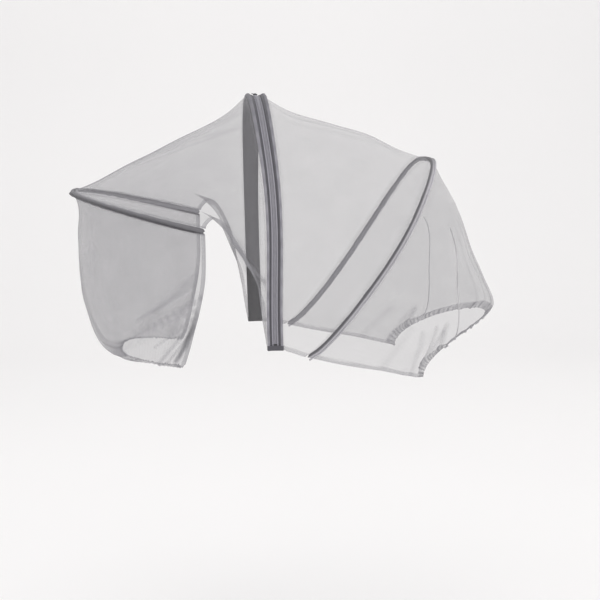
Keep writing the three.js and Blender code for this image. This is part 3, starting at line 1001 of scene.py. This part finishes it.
def casing(place, towards):
    """A padded strip with a piped outer edge, drawn in along its stitched groove, with a painted highlight
    on its piping.
    """
    shares, frames = arch_frames()
    rng = random.Random(place)
    waves = [(rng.uniform(0.3, 1.3), rng.uniform(0, 6)) for _ in range(6)]
    profile = CASING_PROFILE if towards > 0 else CASING_PROFILE[::-1]

    def section(step):
        width = swell(CASING_WIDTH, shares[step])
        half = swell(CASING_THICKNESS, shares[step]) / 2
        puff = 1 + CASING_PUFF * sum(math.sin(step * k + shift) for k, shift in waves) / 2
        puff += CASING_TOP_PUFF * math.sin(math.pi * shares[step]) ** CASING_TOP_POWER
        corners = [(towards * (CASING_START + width * across), half * up * puff) for across, up in profile]
        return corners[::-1]

    made = tube("casing_" + place, frames, section, CASING)
    highlight_from = CASING_HIGHLIGHT_FROM[towards]
    pale = [float(across > highlight_from and up > CASING_HIGHLIGHT_ABOVE) for across, up in profile][::-1]
    streaks = 1 - CASING_STREAKS + CASING_STREAKS * np.sin(np.arange(len(shares)) * 0.9 + towards)
    # Painted highlight on the piping, weaker towards the top of the arch
    painted(made, np.outer(top_fade(shares) * streaks, pale))
    groove = towards * (CASING_START + swell(CASING_WIDTH, shares) * CASING_GROOVE)
    up = swell(CASING_THICKNESS, shares) / 2 * CASING_STITCH_UP
    stitch_row("casing_stitches_" + place, frames, groove, up, CASING_STITCH)
    return made


# A tape's profile from the teeth outwards: across, up, and whether it is pale there; where it is not, it
# stays dark as painted shade of the groove under the casing's edge
TAPE_PROFILE = [
    (0.0, -0.3, 1),
    (0.0, 0.4, 1),
    (0.5, 0.6, 1),
    (2.3, 0.55, 1),
    (2.9, 0.55, 0),
    (TAPE_WIDTH - 0.4, 0.5, 0),
    (TAPE_WIDTH, 0.1, 0),
    (TAPE_WIDTH, -0.4, 0),
]
TAPE_STITCH_UP = 0.62
TAPE_STITCH = (1.8, 2.8, 0.28)


def zip_tape(place, towards):
    """One woven tape, pale beside the teeth and dark towards the casing, where the dark is painted shade of
    the groove.
    """
    shares, frames = arch_frames()
    inner = CHAIN_WIDTH / 2 + GAP
    profile = TAPE_PROFILE if towards > 0 else TAPE_PROFILE[::-1]

    def section(step):
        return [(towards * (inner + across), up) for across, up, _ in profile]

    made = tube("tape_" + place, frames, section, TAPE)
    # Pale beside the teeth; the outer part stays dark as painted shade beside the casing
    painted(made, np.outer(top_fade(shares), [pale for _, _, pale in profile]))
    across = np.full(len(shares), towards * (inner + TAPE_WIDTH / 2))
    up = np.full(len(shares), TAPE_STITCH_UP)
    stitch_row("tape_stitches_" + place, frames, across, up, TAPE_STITCH)
    return made


# The lining: its reach as a share of the casings' width, how far it lies below them, and its thickness
LINING_REACH = 0.97
LINING_DROP = 0.1
LINING_THICKNESS = 0.6


def zip_lining():
    """The flat strip sewn under the whole band, which is what shows from inside."""
    shares, frames = arch_frames()

    def section(step):
        edge = CASING_START + swell(CASING_WIDTH, shares[step]) * LINING_REACH
        under = -swell(CASING_THICKNESS, shares[step]) / 2 - LINING_DROP
        above = [(edge, under), (0, under + LINING_DROP), (-edge, under)]
        return above + [(across, up - LINING_THICKNESS) for across, up in reversed(above)]

    return tube("zip_lining", frames, section, LINING)


def end_tab(place, share):
    """The folded binding across one foot of the band."""
    point = bow_line(ZIP_BOW)(share)
    rounded_block("end_tab_" + place, (30, 6, 9), point, CASING, "casing", bevel=2.4, waist=0.04)


# The coil: how far from the band's feet it stops, its pitch, its loops' profile as shares of half its width
# and of its height, half its wire's width and how round that is, and the flat core's profile
COIL_STOP = 12
COIL_PITCH = 1.9
COIL_SAMPLES = 1200
COIL_LOOP = [(-0.15, -0.3), (0.1, 0.75), (0.5, 1.0), (0.9, 0.75), (1.0, 0.0)]
COIL_HEIGHT = 1.25
COIL_HALF_WIRE = 0.36
COIL_ROUND = 0.3
CORE_PROFILE = [(-1, -0.9), (1, -0.9), (1, 0.1), (0, 0.35), (-1, 0.1)]


def zip_coil():
    """Two rows of coil loops that mesh in the middle, over a flat core."""
    whole = bow_line(ZIP_BOW).length
    stop = COIL_STOP / whole
    _, (points, sides, outs) = arch_frames(stop, 1 - stop, COIL_SAMPLES)
    count = 2 * int(whole * (1 - 2 * stop) / COIL_PITCH)
    corners, faces = [], []
    for number in range(count):
        towards = 1 if number % 2 else -1
        place = (number + 0.5) / count * (len(points) - 1)
        i = min(int(place), len(points) - 2)
        centre = points[i] + (points[i + 1] - points[i]) * (place - i)
        along = unit(points[i + 1] - points[i])
        faces += strip_faces(len(corners), len(COIL_LOOP))
        for across, up in COIL_LOOP:
            rim = centre + sides[i] * towards * across * CHAIN_WIDTH / 2 + outs[i] * (up * COIL_HEIGHT)
            corners.append(rim - along * COIL_HALF_WIRE)
            corners.append(rim + outs[i] * COIL_ROUND)
            corners.append(rim + along * COIL_HALF_WIRE)
    coil = new_object("coil", corners, faces, TEETH)

    def section(step):
        return [(across * CHAIN_WIDTH / 2, up) for across, up in CORE_PROFILE]

    _, core_frames = arch_frames(stop, 1 - stop)
    tube("coil_core", core_frames, section, TEETH)
    return coil


def rounded_block(name, size, centre, material, slot, bevel, tilt=0.0, waist=0.0):
    """A block with rounded edges, drawn in at its middle by waist, at a tilt about Y."""
    bpy.ops.mesh.primitive_cube_add(size=1)
    made = bpy.context.object
    made.name = name
    made.data.name = name
    for vertex in made.data.vertices:
        vertex.co = Vector(vertex.co[k] * size[k] * MM for k in range(3))
    cut = made.modifiers.new("cuts", "SUBSURF")
    cut.subdivision_type = "SIMPLE"
    cut.levels = 3
    bpy.ops.object.modifier_apply(modifier="cuts")
    for vertex in made.data.vertices:
        along = 1 - abs(vertex.co.y) / (size[1] * MM / 2)
        vertex.co.x *= 1 - waist * along
    edges = made.modifiers.new("edges", "BEVEL")
    edges.width = bevel * MM
    edges.segments = 3
    edges.limit_method = "ANGLE"
    bpy.ops.object.modifier_apply(modifier="edges")
    made.rotation_euler = (0, tilt, 0)
    made.location = Vector(centre) * MM
    bpy.ops.object.transform_apply(location=True, rotation=True, scale=True)
    made.data.materials.append(material)
    made.data.shade_smooth()
    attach(made, "root")
    return made


def metal_block(name, size, centre, **shape):
    return rounded_block(name, size, centre, METAL, "metal", **shape)


# The pull's ring: its radius, its wire's radius and how finely it is cut
RING_RADIUS = 2.6
RING_WIRE = 0.55
RING_STEPS = 28


def slider_pieces():
    """The slider with its bridge, and the pull with its ring."""
    seat = ARCH_LIFT + CHAIN_HALF_THICKNESS + GAP
    slider = metal_block("slider", (8, 12, 2.2), (0, 0, seat + 1.2), bevel=0.7, waist=0.18)
    metal_block("slider_bridge", (2.4, 8, 1.6), (0, 0, seat + 2.7), bevel=0.5)
    pull = metal_block("pull", (12, 5, 1.4), (-11.2, 0, seat + 0.7), bevel=0.6, tilt=0.22)

    def section(step):
        turns = [k * math.pi / 4 for k in range(8)]
        return [(RING_WIRE * math.cos(turn), -RING_WIRE * math.sin(turn)) for turn in turns]

    frames = ring_frames((-3.9, 0, seat + 2.6), RING_RADIUS, RING_STEPS)
    tube("pull_ring", frames, section, METAL, close_ends=False)
    return slider, pull


def ring_frames(centre, radius, steps):
    """Frames round a small ring that lies level with the slider."""
    angles = np.linspace(0, 2 * math.pi, steps + 1)
    spokes = np.stack([np.cos(angles), np.sin(angles) * 0.8, -0.15 * np.cos(angles)], axis=-1)
    points = np.array(centre) + spokes * radius
    outs = np.tile([0.0, 0.0, 1.0], (steps + 1, 1))
    return points, unit(spokes), outs


def end_stop(place, share):
    """The stop across the end of the teeth, at one foot of the band."""
    return metal_block("stop_" + place, (6.2, 3.4, 8), bow_line(ZIP_BOW)(share), bevel=0.8)


BACK_SEAM_PROFILE = [(-1.0, -0.3), (-1.0, 0.2), (-0.4, 0.7), (0.4, 0.7), (1.0, 0.2), (1.0, -0.3)]


def back_seam(place, grid, column):
    """The narrow sewn seam down one side of the back panel."""
    line = grid[:, column]
    outs = outward(grid)[:, column]
    sides = unit(np.cross(unit(np.gradient(line, axis=0)), outs))
    tube("back_seam_" + place, (line, sides, outs), lambda step: BACK_SEAM_PROFILE, SEAM)


# Putting it together

foot_net = foot_panel()
front_net = front_panel()
crown_net = crown_panel()
head_net, back_net, back_grid = head_panels()
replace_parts(foot_net, "net_foot")
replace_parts(front_net, "net_front")
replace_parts(crown_net, "net_crown")
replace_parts(head_net, "net_head")
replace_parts(back_net, "net_back")

# Each hoop's seam and its painted highlight: turn round the sleeve in degrees and strength
foot_sleeve = hoop_piece("hoop_sleeve_foot", FOOT_HOOP, (200, 0.0), (100, 0.16))
rear_sleeve = hoop_piece("hoop_sleeve_rear", REAR_HOOP, (20, 1.3), (30, 1.25))
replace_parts(foot_sleeve, "foot_hoop")
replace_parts(rear_sleeve, "rear_hoop")

for place, towards in (("front", -1), ("rear", 1)):
    strip = casing(place, towards)
    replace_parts(strip, "zip_casing_" + place)
    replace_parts(zip_tape(place, towards), "zip_tape_" + place)
coil = zip_coil()
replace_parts(coil, "zip_chain")
slider, pull = slider_pieces()
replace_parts(slider, "zip_slider")
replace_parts(pull, "zip_pull")
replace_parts(end_stop("near", 0.006), "zip_stop_near")
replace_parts(end_stop("far", 0.994), "zip_stop_far")
lining = zip_lining()
end_tab("near", 0.004)
end_tab("far", 0.996)
back_seam("near", back_grid, 0)
back_seam("far", back_grid, -1)

# Floor, light and camera


# The floor and backdrop in metres: the floor's height, its front edge and where it begins to curve up, the
# curve's radius and steps, and how high and wide the backdrop is
FLOOR = -1.06
FLOOR_FRONT = -6.0
FLOOR_BACK = 3.2
CURVE_RADIUS = 1.5
CURVE_STEPS = 12
BACKDROP_TOP = 7.0
BACKDROP_HALF_WIDTH = 9.0


def stage_pieces():
    """A pale floor that curves up into a backdrop behind the part."""
    material = backdrop_material()
    profile = [(FLOOR_FRONT, FLOOR), (FLOOR_BACK, FLOOR)]
    for i in range(1, CURVE_STEPS + 1):
        angle = math.pi / 2 * i / CURVE_STEPS
        away = FLOOR_BACK + CURVE_RADIUS * math.sin(angle)
        profile.append((away, FLOOR + CURVE_RADIUS * (1 - math.cos(angle))))
    profile.append((FLOOR_BACK + CURVE_RADIUS, BACKDROP_TOP))
    points = [(x, y, z) for y, z in profile for x in (-BACKDROP_HALF_WIDTH, BACKDROP_HALF_WIDTH)]
    faces = [(2 * i, 2 * i + 1, 2 * i + 3, 2 * i + 2) for i in range(len(profile) - 1)]
    mesh = bpy.data.meshes.new("backdrop")
    mesh.from_pydata(points, [], faces)
    mesh.materials.append(material)
    mesh.shade_smooth()
    backdrop = add_object("backdrop", mesh)


# Light: what the lamps point at, and the colours
NET_MIDDLE = (0.05, 0, -0.25)
BACKDROP_MIDDLE = (0.6, 4.4, -0.2)
LIGHT_COLOR = (1.0, 0.995, 0.99)
SKY_COLOR = (1, 0.99, 0.99, 1)
SKY_STRENGTH = 0.78


def area_light(name, place, target, size, power):
    data = bpy.data.lights.new(name, "AREA")
    data.energy = power
    data.size = size
    data.color = LIGHT_COLOR
    lamp = add_object(name, data)
    lamp.location = place
    lamp.rotation_euler = (Vector(target) - Vector(place)).to_track_quat("-Z", "Y").to_euler()


def lighting():
    """Large soft lights from above, in front and the side, one on the backdrop, and an even pale sky."""
    area_light("top light", (-0.6, -0.8, 2.6), NET_MIDDLE, size=2.4, power=18)
    area_light("front light", (-2.2, -3.0, 1.2), NET_MIDDLE, size=2.2, power=14)
    area_light("side light", (3.0, -1.6, 1.0), NET_MIDDLE, size=2.0, power=10)
    area_light("backdrop light", (0.6, 0.8, 3.4), BACKDROP_MIDDLE, size=4.0, power=40)
    world = bpy.data.worlds.new("studio")
    world.use_nodes = True
    background = world.node_tree.nodes["Background"]
    background.inputs["Color"].default_value = SKY_COLOR
    background.inputs["Strength"].default_value = SKY_STRENGTH
    bpy.context.scene.world = world


# The photograph's view
CAMERA_PLACE = (-0.1304, -2.335, -0.098)
CAMERA_PITCH = math.radians(7.279)
CAMERA_YAW = math.radians(5.334)
CAMERA_LENS = 71.4
CAMERA_SENSOR = 36
CAMERA_REACH = 60


def camera():
    data = bpy.data.cameras.new("camera")
    data.lens = CAMERA_LENS
    data.sensor_width = CAMERA_SENSOR
    data.clip_end = CAMERA_REACH
    made = add_object("camera", data)
    level = math.cos(CAMERA_PITCH)
    forward = Vector((level * math.sin(CAMERA_YAW), level * math.cos(CAMERA_YAW), -math.sin(CAMERA_PITCH)))
    made.location = CAMERA_PLACE
    made.rotation_mode = "QUATERNION"
    made.rotation_quaternion = forward.to_track_quat("-Z", "Y")
    bpy.context.scene.camera = made


stage_pieces()
lighting()
camera()
bpy.context.scene.view_settings.view_transform = "Standard"
